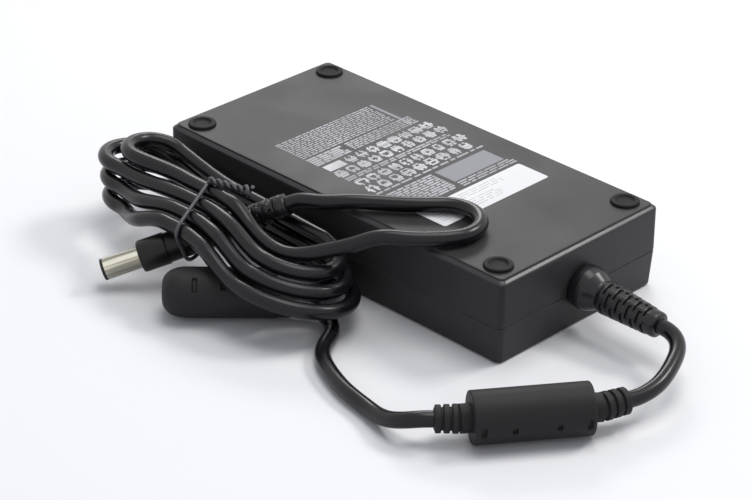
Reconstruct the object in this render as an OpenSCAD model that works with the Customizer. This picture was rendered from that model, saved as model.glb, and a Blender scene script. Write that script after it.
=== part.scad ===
// Power adapter of a portable computer, lying with its feet and rating side up.
// Its low voltage cord is wound into a hank that lies along one side, and the
// barrel plug rests on the waist of the hank.
// Origin: centre of the housing's footprint, on the surface that it lies on.
// +X runs to the cord outlet, +Z is up, and the hank lies on the -Y side.

/* [Housing] */
// Length of the housing, inlet end to outlet end
case_len = 155; // [152:0.5:157]
// Width of the housing
case_wid = 76.2; // [73:0.2:76.4]
// Height of the housing without its feet
case_hgt = 30; // [29:0.25:30.5]
// Height of the seam between the two shells
seam_z = 13; // [11.5:0.5:14]
// Wall thickness of the shells
wall = 2.4; // [2:0.1:2.6]
// Radius of the upright corners
corner_r = 2.4; // [1.8:0.2:4]
// How far the lower shell draws in at its base
draft = 1.5; // [0.6:0.1:2.2]
// Width of the ledge round the raised panel
ledge = 1.5; // [1:0.1:2.5]
// Height of the raised panel above the ledge
panel_h = 0.6; // [0.3:0.1:1]

/* [Feet] */
// Diameter of a rubber foot
foot_d = 9.6; // [8:0.2:11]
// How far a foot stands proud of the panel
foot_h = 1; // [0.6:0.1:1.6]
// Distance of the feet from the middle, along X
foot_x = 69; // [62:0.5:70]
// Distance of the feet from the middle, along Y
foot_y = 30.5; // [28:0.5:31]

/* [Mains inlet] */
// Width of the inlet's cavity
inlet_w = 24.4; // [24:0.1:24.8]
// Height of the inlet's cavity
inlet_h = 16.4; // [16:0.1:16.8]
// Depth of the inlet's cavity
inlet_depth = 17; // [16:0.5:18]
// Distance between the line and neutral pins
pin_pitch = 14; // [13.6:0.2:14.4]

/* [Cord outlet] */
// Diameter of the bell at the housing
bell_d = 15; // [13:0.5:17]
// Length of the outlet's strain relief outside the housing
relief_len = 32.5; // [30:0.5:34]
// Number of ribs on the outlet's sleeve
relief_ribs = 9; // [6:1:10]

/* [Cord] */
// Diameter of the low voltage cord
cord_d = 5.2; // [4.6:0.1:5.2]
// Turns in the hank
turns = 3.84; // [3.78:0.01:3.88]
// Rise of the hank from one turn to the next, on the side by the housing
turn_rise = 5.95; // [5.9:0.05:6]

/* [Ferrites] */
// Diameter of a ferrite's moulded cover
ferrite_d = 16.5; // [15.5:0.1:16.8]
// Length of a ferrite's moulded cover
ferrite_len = 36.8; // [34:0.2:37]

/* [Plug] */
// Outer diameter of the plug's barrel
barrel_d = 7.4; // [7.2:0.1:7.6]
// Bore of the plug's barrel
barrel_bore = 5; // [4.8:0.1:5.2]
// Length of barrel that stands out of the plug's body
barrel_len = 13; // [12:0.5:14]
// Diameter of the plug's body
plug_d = 10.8; // [9.6:0.1:11]
// Number of ribs on the plug's strain relief
plug_ribs = 6; // [4:1:7]

/* [Hidden] */
$fn = 32;

// Clearance between pieces that only lie side by side
gap = 0.1;
// Clearance round a piece that is pushed into another
fit = 0.05;
half_l = case_len / 2;
half_w = case_wid / 2;
mid_z = case_hgt / 2;
inner_top = case_hgt - panel_h - wall;
// Board, hung from the roof, and the plane that its components hang from
board_t = 1.6;
board_z = inner_top - 2.6;
hang_z = board_z;

// ---- Helpers -------------------------------------------------------------

function mix(a, b, t) = a + (b - a) * t;
function clamp01(t) = min(1, max(0, t));
function ease(x, a, b) = let (t = clamp01((x - a) / (b - a))) t * t * (3 - 2 * t);
function unit(v) = v / norm(v);

// Outline of a rectangle with round corners
function round_rect(l, w, r, n = 5) = [
  for (q = [0:3]) for (i = [0:n])
    let (a = 90 * q + 90 * i / n,
      cx = (q == 0 || q == 3 ? 1 : -1) * (l / 2 - r),
      cy = (q < 2 ? 1 : -1) * (w / 2 - r))
    [cx + r * cos(a), cy + r * sin(a)]];

// One level of the housing: an outline drawn in by inset, at height z
function level(inset, z, l = case_len, w = case_wid, r = corner_r) = [
  for (p = round_rect(l - 2 * inset, w - 2 * inset, max(0.8, r - inset / 2)))
    [p[0], p[1], z]];

// Closed skin over a row of equal rings
module skin(rings) {
  n = len(rings[0]);
  m = len(rings);
  sides = [for (i = [0:m - 2]) for (j = [0:n - 1])
    let (a = i * n + j, b = i * n + (j + 1) % n)
    each [[a, a + n, b + n], [a, b + n, b]]];
  e = (m - 1) * n;
  ends = [for (j = [1:n - 2]) each [[0, j, j + 1], [e, e + j + 1, e + j]]];
  polyhedron([for (r = rings) each r], concat(sides, ends), convexity = 10);
}

// Direction of a path at point i, with given directions at its two ends
function heading(p, i, t0, t1) =
  i == 0 ? (is_undef(t0) ? unit(p[1] - p[0]) : t0)
  : i == len(p) - 1 ? (is_undef(t1) ? unit(p[i] - p[i - 1]) : t1)
  : unit(unit(p[i + 1] - p[i]) + unit(p[i] - p[i - 1]));

// Tube of diameter d along a path, with n sides
module sweep(p, d, n, t0 = undef, t1 = undef) {
  skin([for (i = [0:len(p) - 1])
    let (t = heading(p, i, t0, t1), s = unit(cross([0, 0, 1], t)), u = cross(t, s))
    [for (k = [0:n - 1])
      p[i] + d / 2 * (cos(360 * k / n) * s + sin(360 * k / n) * u)]]);
}

// Box between two corners
module box(a, b) {
  translate(a) cube(b - a);
}

// Cylinder along +X, from x to x + h
module rod(x, h, d, y = 0, z = 0) {
  translate([x, y, z]) rotate([0, 90, 0]) cylinder(d = d, h = h);
}

// Solid of revolution about the X axis from [x, radius] points
module turned(profile) {
  rotate([0, 90, 0]) rotate_extrude() polygon([for (p = profile) [p[1], p[0]]]);
}

// Places a child that lies along +X at p, pointing along v
module along(p, v) {
  translate(p) rotate([0, -asin(v[2] / norm(v)), atan2(v[1], v[0])]) children();
}

// Ribbed sleeve profile from x0 to x1, radius r0 to r1, with ribs of height h
// and grooves that take up the share g of the pitch
function ribs(x0, x1, r0, r1, n, h, g = 0.36) = [
  for (i = [0:n - 1]) let (
    p = (x1 - x0) / n,
    x = x0 + i * p,
    r = mix(r0, r1, i / max(1, n - 1)))
  each [[x, r - h], [x + g * p, r - h], [x + (g + 0.08) * p, r], [x + 0.92 * p, r],
    [x + p, r - h]]];

// ---- Housing -------------------------------------------------------------

inlet_y = inlet_w / 2 + 1.5;
inlet_z = inlet_h / 2 + 1.5;
inlet_x = -half_l;

// Hole for the inlet through the end wall of either shell
module inlet_hole() {
  box([inlet_x - 1, -inlet_y - gap, mid_z - inlet_z - gap],
    [inlet_x + wall + 2, inlet_y + gap, mid_z + inlet_z + gap]);
}

// Hole for the neck of the outlet's strain relief
module outlet_hole() {
  rod(half_l - wall - 3, wall + 4, 11.6 + 2 * gap, 0, mid_z);
}

// Shell that carries the feet and the rating panel
module upper_case() {
  color([0.36, 0.36, 0.37]) difference() {
    union() {
      skin([level(0.35, seam_z), level(0.05, seam_z + 0.35), level(0, seam_z + 1.2),
        level(0.15, case_hgt - panel_h - 1), level(0.75, case_hgt - panel_h),
        level(ledge, case_hgt - panel_h + 0.02), level(ledge + 0.15, case_hgt)]);
    }
    skin([level(wall, seam_z - 1), level(wall + 0.2, inner_top - 1), level(wall + 1, inner_top)]);
    for (x = [-1, 1], y = [-1, 1])
      translate([x * foot_x, y * foot_y, case_hgt - 0.5]) cylinder(d = foot_d + 2 * gap, h = 2);
    inlet_hole();
    outlet_hole();
  }
}

// Plain shell, drawn in towards its base, with a lip that locates the other shell
module lower_case() {
  color([0.3, 0.3, 0.31]) difference() {
    union() {
      skin([level(draft + 0.9, 0), level(draft + 0.1, 0.9), level(0.05, seam_z - 0.35),
        level(0.35, seam_z)]);
      skin([level(wall + gap, seam_z - 0.5), level(wall + gap, seam_z + 1.4)]);
    }
    skin([level(wall + draft, wall), level(wall + 1.2, seam_z - 1), level(wall + 1.2, seam_z + 3)]);
    inlet_hole();
    outlet_hole();
  }
}

// Round rubber foot with a dished face, glued into its recess
module rubber_foot(x, y) {
  r = foot_d / 2;
  color([0.13, 0.13, 0.13]) translate([x, y, case_hgt - 0.5]) rotate_extrude()
    polygon([[0, 0], [r, 0], [r, foot_h], [r - 0.5, foot_h + 0.5], [r - 1.3, foot_h + 0.5],
      [r - 1.9, foot_h - 0.1], [0, foot_h - 0.1]]);
}

// ---- Mains inlet ---------------------------------------------------------

pin_mouth = 4.6;
inlet_back = inlet_depth + 3;
line_z = mid_z - 2;
earth_z = mid_z + 2;

// Cross-section of the cavity: a rectangle with two corners cut off
module inlet_outline(w, h, c) {
  polygon([[-w / 2, -h / 2], [w / 2, -h / 2], [w / 2, h / 2 - c], [w / 2 - c, h / 2],
    [c - w / 2, h / 2], [-w / 2, h / 2 - c]]);
}

// Contact of the inlet, from the cavity through the back wall to a solder tab
module inlet_pin(y, z, grow = 0) {
  box([inlet_x + pin_mouth - grow, y - 1 - grow, z - 2 - grow],
    [inlet_x + inlet_back + 4 + grow, y + 1 + grow, z + 2 + grow]);
}

// Insulating body of the inlet, held in the end wall by its inner flange
module ac_inlet_body() {
  color([0.1, 0.1, 0.1]) difference() {
    union() {
      box([inlet_x, -inlet_y, mid_z - inlet_z], [inlet_x + inlet_back, inlet_y, mid_z + inlet_z]);
      box([inlet_x + wall + 2, -inlet_y - 1.2, mid_z - inlet_z - 0.8],
        [inlet_x + wall + 4.4, inlet_y + 1.2, mid_z + inlet_z + 0.8]);
    }
    translate([inlet_x - 1, 0, mid_z]) rotate([90, 0, 90])
      linear_extrude(inlet_depth + 1) inlet_outline(inlet_w, inlet_h, 4.2);
    inlet_pin(-pin_pitch / 2, line_z, fit);
    inlet_pin(pin_pitch / 2, line_z, fit);
    inlet_pin(0, earth_z, fit);
  }
}

module inlet_line_pin() {
  color([0.75, 0.74, 0.7]) inlet_pin(-pin_pitch / 2, line_z);
}

module inlet_neutral_pin() {
  color([0.75, 0.74, 0.7]) inlet_pin(pin_pitch / 2, line_z);
}

module inlet_earth_pin() {
  color([0.75, 0.74, 0.7]) inlet_pin(0, earth_z);
}

// ---- Cord outlet ---------------------------------------------------------

// The sleeve droops a little under its own stiffness
outlet_dir = [cos(3.2), 0, -sin(3.2)];
outlet = [half_l, 0, mid_z];
outlet_end = outlet + relief_len * outlet_dir;

// Bell and ribbed sleeve, moulded in one with the neck in the end wall
module output_strain_relief() {
  b = bell_d / 2;
  l = relief_len;
  color([0.1, 0.1, 0.11]) union() {
    difference() {
      along(outlet, outlet_dir) turned(concat(
        [[-1, 0], [-1, b - 0.6], [1.6, b], [4.2, b], [6.4, b - 0.6], [8.4, b - 1.8], [9.6, 5]],
        ribs(10, l - 3.4, 5.6, 4.6, relief_ribs, 0.7),
        [[l - 3.2, 4.3], [l - 0.5, 4.3], [l, 3.9], [l, 0]]));
      box([half_l - 4, -12, mid_z - 12], [half_l + gap, 12, mid_z + 12]);
    }
    rod(half_l - wall - 2.4, wall + 4, 11.6, 0, mid_z);
    rod(half_l - wall - 3.6, 2.2, 15, 0, mid_z);
  }
}

// ---- Ferrites ------------------------------------------------------------

ferrite_r = ferrite_d / 2;
// First ferrite, on the lead from the housing: left end and heading
fa = [99.9, -75.5, 8.4];
fa_turn = 54.4;
fa_dir = [cos(fa_turn), sin(fa_turn), 0];
// Second ferrite, under the hank
fb = [-20, -92, 8.4];
fb_turn = 45;
fb_dir = [cos(fb_turn), sin(fb_turn), 0];
fb_end = fb + ferrite_len * fb_dir;

// Cavity of the ring core, and the core itself, from a distance behind the left end
module core_ring(from, grow = 0) {
  turned([[from - grow, 3.4 - grow], [ferrite_len - 3.5 + grow, 3.4 - grow],
    [ferrite_len - 3.5 + grow, 7 + grow], [from - grow, 7 + grow]]);
}

// Moulded cover. Its left end is square or domed, and it has pockets, each with a
// place and a width, where the core's locating pins stood in the mould
module ferrite_body(domed, turn, pockets) {
  r = ferrite_r;
  l = ferrite_len;
  nose = domed ? [[0, r - 5.2], [1.6, r - 3.1], [4, r - 1.2], [7.4, r]] : [[0, r - 0.5], [0.5, r]];
  difference() {
    turned(concat([[0, 0]], nose, [[l - 0.5, r], [l, r - 0.5], [l, 0]]));
    core_ring(domed ? 7.5 : 3.5, fit);
    for (p = pockets)
      rotate([turn, 0, 0]) box([p[0] - 0.7, -r - 1, -p[1] / 2], [p[0] + 0.7, 1 - r, p[1] / 2]);
  }
}

// Ribbed sleeve at the end of a cover
module ferrite_sleeve(l) {
  turned(concat([[-2, 0], [-2, 3.6]], ribs(0, l - 0.2, 4.5, 4.3, 3, 0.8, 0.2),
    [[l, 3.3], [l, 0]]));
}

fa_in_turn = 71;
fa_in_dir = [cos(fa_in_turn), sin(fa_in_turn), 0];
fa_out_turn = 227;
fa_out_dir = [cos(fa_out_turn), sin(fa_out_turn), 0];
fa_far = fa + (ferrite_len + 3) * fa_dir;
fa_near = fa - 3 * fa_dir;
fa_in = fa_far + 9 * fa_in_dir;
fa_out = fa_near + 8 * fa_out_dir;

module ferrite_cover_1() {
  color([0.14, 0.14, 0.14]) union() {
    along(fa, fa_dir)
      ferrite_body(false, 6, [[2.6, 3.2], [12, 1.8], [25.5, 1.8], [ferrite_len - 2.1, 3.2]]);
    along(fa, fa_dir) rod(-3.4, 3.6, 9);
    along(fa, fa_dir) rod(ferrite_len - 0.2, 3.6, 9);
    along(fa_far, fa_in_dir) ferrite_sleeve(9);
    along(fa_near, fa_out_dir) ferrite_sleeve(8);
  }
}

module ferrite_core_1() {
  color([0.25, 0.25, 0.26]) along(fa, fa_dir) core_ring(3.5);
}

// The cord makes a turn through the second ferrite: both ends leave it side by side
fb_drop = 3.4;
fb_side = [-fb_dir[1], fb_dir[0], 0];
fb_face = fb_end + 5 * fb_dir - [0, 0, fb_drop];
fb_in = fb_face - 3 * fb_side;
fb_out = fb_face + 3 * fb_side;

module ferrite_cover_2() {
  color([0.14, 0.14, 0.14]) union() {
    along(fb, fb_dir) ferrite_body(true, -45, [[10.8, 5], [20, 2.8]]);
    along(fb_in - 5.5 * fb_dir, fb_dir) rod(0, 5.5, 7);
    along(fb_out - 5.5 * fb_dir, fb_dir) rod(0, 5.5, 7);
    along(fb_face - 5.5 * fb_dir, fb_dir) box([0, -3, -3.4], [5.5, 3, 3.4]);
  }
}

module ferrite_core_2() {
  color([0.25, 0.25, 0.26]) along(fb, fb_dir) core_ring(7.5);
}

// ---- Cord ----------------------------------------------------------------

low = cord_d / 2 + 0.1;
grow_x = half_l - 77.5;

// From the outlet round to the first ferrite
lead_a = [
  outlet_end, outlet_end + 2.8 * outlet_dir,
  [117.7 + grow_x * 0.7, -1.6, 12.4], [121.5 + grow_x * 0.4, -5.4, 11.6],
  [124.4, -11, 10.8], [126.6, -17, 10], [127.8, -23, 9.2], [127.6, -28.6, 8.6],
  fa_in + 2.6 * fa_in_dir, fa_in];

module cord_lead_a() {
  color([0.09, 0.09, 0.09]) sweep(lead_a, cord_d, 8, outlet_dir, -fa_in_dir);
}

// From the first ferrite along the surface and in under the hank
lead_b = [
  fa_out, fa_out + 2.6 * fa_out_dir, [87, -88.4, 7.5], [81.4, -89.4, 5.4], [75, -88.6, 3.5],
  [68, -87, low], [60, -85.6, low], [52, -83.3, low], [44, -79.9, low], [36.9, -75.4, low],
  [32.4, -69.5, low], [29, -63.7, low + 0.2], [24, -60.4, 3.8], [18.8, -60.1, 4.6],
  fb_in + 2.8 * fb_dir, fb_in];

module cord_lead_b() {
  color([0.09, 0.09, 0.09]) sweep(lead_b, cord_d, 8, fa_out_dir, -fb_dir);
}

// Runs of the hank, seen from the outermost turn inwards. A turn goes along the
// near run, round the right tip, back along the far run and round the left tip.
tip_right = 7;
tip_left = -77.5;
turn_start = 0.3;
join_at = 0.2247;

// Point of the wound part of the cord at turn t
function wound(t) = let (
    r = turns - t,
    f = t + turn_start - floor(t + turn_start),
    right = f >= 0.24 && f < 0.5,
    left = f >= 0.74,
    far = f < 0.24 ? 0 : right ? (1 - cos((f - 0.24) / 0.26 * 180)) / 2
      : left ? (1 + cos((f - 0.74) / 0.26 * 180)) / 2 : 1,
    out = right ? sin((f - 0.24) / 0.26 * 180) : left ? sin((f - 0.74) / 0.26 * 180) : 0,
    x0 = tip_left + 4 * r + 13 * ease(1.2 - r, 0, 1),
    x = f < 0.24 ? mix(x0, tip_right, f / 0.24)
      : right ? tip_right + (11.5 + 4.3 * r) * out
      : left ? x0 - (10.8 + 1.2 * r) * out
      : mix(tip_right, x0, (f - 0.5) / 0.24),
    e = ease(x, x0, x0 + 21),
    w = ease(x, -86, -34),
    g = ease(x, -28, tip_right),
    near = [mix(mix(-64.2, -61.5, e), -67, g) + r * mix(mix(-2.4, -5.5, e), -5.3, g),
      mix(mix(32, 30, ease(x, x0, -34)), 26.1, ease(x, -16, tip_right))
        - r * mix(mix(5.4, 2.2, ease(x, x0 + 4, -34)), 3.2, g)],
    back = [mix(mix(-43.5, -46.3, w), -46.6, g) + r * mix(0.3, 1.2, w),
      mix(mix(30.6, 25.6, w), 25.1, g) - r * mix(turn_rise + 0.2, turn_rise + 0.05, g)])
  [x, mix(near[0], back[0], far),
    mix(near[1], back[1], far) + (right ? -2.2 : 0.5) * out];

// The cord leaves the second ferrite in a curve that joins the lowest far run
join = wound(join_at);
function lead_in(u) = let (k = 9.6, v = 1 - u)
  v * v * v * fb_out + 3 * v * v * u * (fb_out + k * fb_dir - [0, 0, 0.8])
  + 3 * v * u * u * (join + [k, 0, 0]) + u * u * u * join;

function hank(t) = t < join_at ? lead_in(t / join_at) : wound(t);

rings = ceil(24 * turns);
hank_path = [for (i = [0:rings]) hank(turns * i / rings)];
hank_end = hank(turns);
hank_dir = unit(hank(turns) - hank(turns - 0.005));

module cord_hank() {
  color([0.09, 0.09, 0.09]) sweep(hank_path, cord_d, 6, fb_dir, hank_dir);
}

// Least gap of the wound cord to itself, between points a turn's quarter apart or more
check_path = [for (i = [0:floor(80 * turns)]) hank(i / 80)];
least_gap = min([for (i = [0:len(check_path) - 1]) min([1000,
  for (j = [i + 18:1:len(check_path) - 1]) norm(check_path[i] - check_path[j])])]) - cord_d;
echo("least gap of the hank to itself in mm", least_gap);

// Plug axis: tip, end of the body, and end of the strain relief
plug_tip = [-46.6, -94.8, 6.8];
plug_back = [-18.6, -57.2, 21.8];
plug_end = [-7, -48.7, 29.3];
plug_dir = unit(plug_back - plug_tip);
boot_dir = unit(plug_end - plug_back);
plug_len = norm(plug_back - plug_tip);
boot_len = norm(plug_end - plug_back);

// From the hank up over the housing, round and back down to the plug
over = case_hgt + cord_d / 2 + 0.3;
loop_path = [
  hank_end, hank_end + 4 * hank_dir, [-9.9, -63.6, 26.8], [0, -65.4, 24.5], [7, -65.2, 23.6],
  [13.5, -63, 24.2], [20, -58.3, 26.4], [27, -53, 29.3], [34, -47.4, over - 0.3],
  [41, -42, over], [47.5, -35.4, over], [52.1, -27.3, over], [50.8, -19.5, over],
  [44.9, -14.6, over], [36.8, -14.9, over], [28.1, -22.4, over], [19, -30.4, over],
  [10, -38.2, over], [2.5, -43.6, over - 1], [-2.6, -46, 31.3],
  plug_end + 2 * boot_dir, plug_end];

module cord_loop() {
  color([0.09, 0.09, 0.09]) sweep(loop_path, cord_d, 8, hank_dir, -boot_dir);
}

// ---- Plug ----------------------------------------------------------------

// The barrel's shank is turned down where the body grips it
shank_d = barrel_d - 0.8;
shank_len = 7;

// Ribbed boot that bends away from the plug's body
module plug_strain_relief() {
  color([0.1, 0.1, 0.11]) difference() {
    along(plug_back, boot_dir) turned(concat([[-4, 0], [-4, 4.3], [2, 4.3]],
      ribs(2.4, boot_len - 1.8, 4.4, 4, plug_ribs, 0.8),
      [[boot_len - 1.7, 3.9], [boot_len, 3.7], [boot_len, 0]]));
    along(plug_back, plug_dir) box([-12, -9, -9], [gap / 2, 9, 9]);
  }
}

// Moulded body that holds the barrel
module plug_body() {
  r = plug_d / 2;
  l = plug_len;
  color([0.08, 0.08, 0.07]) along(plug_tip, plug_dir) difference() {
    turned([[barrel_len, 0], [barrel_len, r - 0.5], [barrel_len + 0.5, r], [barrel_len + 9, r],
      [barrel_len + 9.6, r - 0.35], [l - 14, r - 0.35], [l - 9, 4.9], [l, 4.6], [l, 0]]);
    rod(barrel_len - 1, shank_len + 1, shank_d + 2 * fit);
  }
}

// Nickel plated barrel, the outer contact
module plug_barrel() {
  color([0.78, 0.77, 0.74]) along(plug_tip, plug_dir) difference() {
    rod(0, barrel_len - fit, barrel_d);
    rod(1, barrel_len + shank_len - 1 - fit, shank_d);
    rod(-1, barrel_len + shank_len + 2, barrel_bore);
  }
}

// Insulator at the bottom of the barrel, bored for the centre pin
module plug_insulator() {
  color([0.12, 0.12, 0.12]) along(plug_tip, plug_dir) difference() {
    rod(10.5, barrel_len - 3.6, barrel_bore - 2 * fit);
    rod(9, 12, 1 + 2 * fit);
  }
}

// Centre pin, the signal contact
module plug_centre_pin() {
  color([0.8, 0.7, 0.45]) along(plug_tip, plug_dir) union() {
    rod(3, 8, 0.7);
    rod(10.6, barrel_len - 3.8, 1);
  }
}

// ---- Tie -----------------------------------------------------------------

// Wire tie round the near strands and the plug's body under them
tie_x = -28;
tie_d = 1.3;
tie_out = [0, -0.928, -0.371];
tie_up = [0, -0.371, 0.928];
tie_first = [tie_x, -61.5, 29.9];
tie_reach = cord_d / 2 + tie_d / 2 + 0.9;
tie_drop = 16.7;

// Ring of the tie round its row of strands, at angle a
function tie_point(a) = let (
    half = 8.9,
    c = tie_first + half * tie_out,
    q = [cos(a), sin(a)])
  c + (half * sign(q[0]) * min(1, abs(q[0]) * 1.5) + tie_reach * q[0]) * tie_out
    + (q[1] > 0 ? tie_reach * pow(q[1], 0.6) * tie_up : -tie_drop * pow(-q[1], 0.6) * [0, 0, 1])
    + [3 * q[0], 0, 0];

module twist_tie() {
  n = 6;
  m = 26;
  color([0.3, 0.29, 0.34]) union() {
    pts = [for (i = [0:m - 1]) tie_point(360 * i / m)];
    all = [for (i = [0:m - 1]) let (
        t = unit(pts[(i + 1) % m] - pts[(i + m - 1) % m]), s = [1, 0, 0], u = unit(cross(t, s)))
      each [for (k = [0:n - 1]) pts[i] + tie_d / 2 * (cos(360 * k / n) * s
        + sin(360 * k / n) * u)]];
    polyhedron(all, [for (i = [0:m - 1]) for (k = [0:n - 1])
      let (a = i * n + k, b = i * n + (k + 1) % n, c = ((i + 1) % m) * n + k,
        d = ((i + 1) % m) * n + (k + 1) % n)
      each [[a, d, b], [a, c, d]]], convexity = 6);
  }
}

// ---- Inside --------------------------------------------------------------

board_x0 = inlet_x + inlet_back + 5;
board_x1 = half_l - wall - 5;

module main_board() {
  color([0.1, 0.35, 0.2]) box([board_x0, by(-32), board_z], [board_x1, by(32), board_z + board_t]);
}

module insulating_sheet() {
  color([0.85, 0.85, 0.8]) box([board_x0, by(-33), board_z + board_t + 0.3],
    [board_x1, by(33), board_z + board_t + 0.6]);
}

module shield_plate() {
  color([0.7, 0.7, 0.72]) box([board_x0, by(-32), wall + 0.4], [board_x1, by(32), wall + 0.8]);
}

// The components keep their share of the board and of the room under it.
// x and y are places on the board, and d is a depth below its face.
function bx(x) = mix(board_x0, board_x1, (x + 52.5) / 122.6);
function by(y) = y * case_wid / 76.2;
function bz(d) = hang_z - d * case_hgt / 30;
part_k = min(case_wid / 76.2, (board_x1 - board_x0) / 122.6, case_hgt / 30);

// Block between two places
module block(a, b) {
  box([bx(a[0]), by(a[1]), bz(a[2])], [bx(b[0]), by(b[1]), bz(b[2])]);
}

// Toroid lying flat under the board, with its winding
module toroid(x, y, d, h, hole) {
  translate([bx(x), by(y), bz(h / 2 + 0.2)]) rotate_extrude()
    translate([part_k * (d + hole) / 4, 0])
      square([part_k * (d - hole) / 2, part_k * h], center = true);
}

module inlet_fuse() {
  color([0.6, 0.55, 0.45]) rod(bx(-50), 20 * part_k, 5.2 * part_k, by(-26), bz(2.7));
}

module x_capacitor() {
  color([0.75, 0.7, 0.2]) block([-50, 14, 15], [-32, 23, 0]);
}

module common_mode_choke() {
  color([0.15, 0.45, 0.25]) toroid(-40, -8, 22, 11, 9);
}

module bridge_rectifier() {
  color([0.12, 0.12, 0.12]) block([-48, 26.5, 17], [-28, 30.5, 0]);
}

module pfc_choke() {
  color([0.55, 0.3, 0.15]) toroid(-12, -12, 26, 13, 10);
}

module bulk_capacitor() {
  color([0.15, 0.2, 0.45]) rod(bx(-27), 36 * part_k, 18 * part_k, by(15), bz(9.3));
}

module primary_heatsink() {
  color([0.72, 0.73, 0.75]) block([-22, -31, 19], [24, -29.4, 0]);
}

module switch_transistor() {
  color([0.12, 0.12, 0.12]) block([8, -29.2, 17], [18, -24.8, 0]);
}

module transformer_core() {
  color([0.25, 0.25, 0.26]) difference() {
    block([12, -14, 19.5], [38, 14, 0.5]);
    block([10, -9.6, 16.4], [40, 9.6, 3.6]);
  }
}

module transformer_winding() {
  color([0.85, 0.7, 0.2]) block([14, -9.4, 16.2], [36, 9.4, 3.8]);
}

module y_capacitor() {
  color([0.2, 0.4, 0.7]) translate([bx(32), by(-20), bz(5)]) rotate([90, 0, 0])
    cylinder(d = 9 * part_k, h = 4 * part_k);
}

module secondary_heatsink() {
  color([0.72, 0.73, 0.75]) block([12, 29.4, 19], [60, 31, 0]);
}

module output_rectifier() {
  color([0.12, 0.12, 0.12]) block([42, 24.8, 17], [52, 29.2, 0]);
}

module output_capacitors() {
  color([0.2, 0.45, 0.4]) for (y = [-17, -6, 5])
    translate([bx(47), by(y), bz(17.1)]) cylinder(d = 10 * part_k, h = 17 * part_k);
}

module output_choke() {
  color([0.75, 0.5, 0.2]) toroid(60, 12, 14, 9, 5);
}

module output_wires() {
  color([0.6, 0.1, 0.1]) for (y = [-2.2, 2.2])
    rod(half_l - wall - 12, 8.2, 2.2, y, mid_z);
}

upper_case();
lower_case();
rubber_foot(-foot_x, -foot_y);  // rubber_foot_1
rubber_foot(foot_x, -foot_y);  // rubber_foot_2
rubber_foot(-foot_x, foot_y);  // rubber_foot_3
rubber_foot(foot_x, foot_y);  // rubber_foot_4
ac_inlet_body();
inlet_line_pin();
inlet_neutral_pin();
inlet_earth_pin();
output_strain_relief();
cord_lead_a();
ferrite_cover_1();
ferrite_core_1();
cord_lead_b();
ferrite_cover_2();
ferrite_core_2();
cord_hank();
cord_loop();
plug_strain_relief();
plug_body();
plug_barrel();
plug_insulator();
plug_centre_pin();
twist_tie();
main_board();
insulating_sheet();
shield_plate();
inlet_fuse();
x_capacitor();
common_mode_choke();
bridge_rectifier();
pfc_choke();
bulk_capacitor();
primary_heatsink();
switch_transistor();
transformer_core();
transformer_winding();
y_capacitor();
secondary_heatsink();
output_rectifier();
output_capacitors();
output_choke();
output_wires();
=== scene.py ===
import math

import bpy
import numpy as np
from mathutils import Matrix


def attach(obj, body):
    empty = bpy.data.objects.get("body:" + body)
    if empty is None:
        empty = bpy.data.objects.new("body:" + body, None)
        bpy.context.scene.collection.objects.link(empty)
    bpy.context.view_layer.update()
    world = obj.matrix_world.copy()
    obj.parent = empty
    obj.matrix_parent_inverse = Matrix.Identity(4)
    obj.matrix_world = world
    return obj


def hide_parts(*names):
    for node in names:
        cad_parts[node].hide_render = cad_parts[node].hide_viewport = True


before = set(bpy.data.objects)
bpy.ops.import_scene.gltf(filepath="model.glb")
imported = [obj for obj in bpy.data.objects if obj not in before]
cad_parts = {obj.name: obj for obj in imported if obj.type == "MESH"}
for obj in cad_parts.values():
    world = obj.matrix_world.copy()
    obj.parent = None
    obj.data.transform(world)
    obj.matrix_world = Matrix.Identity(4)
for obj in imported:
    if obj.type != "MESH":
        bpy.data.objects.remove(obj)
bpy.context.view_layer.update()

MM = 0.001


# ---- Viewpoint --------------------------------------------------------------
# A long lens stands over the corner between the long side with the wound cord
# and the end that the cord leaves from.

def placed(right, up, back, place):
    """Matrix that puts an object at place, with its own X, Y and Z along right, up and back."""
    return Matrix([[right[k], up[k], back[k], place[k]] for k in range(3)] + [[0, 0, 0, 1]])


camera_data = bpy.data.cameras.new("viewpoint")
camera_data.sensor_width = 36
camera_data.lens = 120.95
camera_data.clip_start = 0.05
camera_data.clip_end = 20
viewpoint = bpy.data.objects.new("viewpoint", camera_data)
bpy.context.scene.collection.objects.link(viewpoint)
camera_place = np.array([0.5216, -0.5453, 0.4145])
camera_right = np.array([0.7088, 0.7054, 0.0112])
camera_back = np.array([0.6131, -0.6237, 0.4849])
camera_up = np.cross(camera_back, camera_right)
viewpoint.matrix_world = placed(camera_right, camera_up, camera_back, camera_place)
bpy.context.scene.camera = viewpoint


# ---- Housing ----------------------------------------------------------------
# Two injection-moulded shells of black polycarbonate blend that meet in a seam
# and are welded there. The upper one has a raised panel that carries the feet
# and the rating print inside a polished rim; the lower one draws in at its base.

CASE_L, CASE_W, CASE_H = 155.0, 76.2, 30.0
SEAM_Z = 13.0
WALL = 2.4
CORNER_R = 2.4
PANEL_H = 0.6
RIM_LOW, RIM_HIGH = 28.5, 29.4
FOOT_X, FOOT_Y, FOOT_R = 69.0, 30.5, 4.8
FOOT_RECESS = 0.5
CLEARANCE = 0.1
AXIS_Z = CASE_H / 2
INLET_HALF_W, INLET_HALF_H, INLET_BACK_X = 13.7, 9.7, -73.1
OUTLET_HOLE_R = 5.9
# Angle between two faces, in degrees, from which their edge is drawn sharp
CREASE = 32.0


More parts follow.
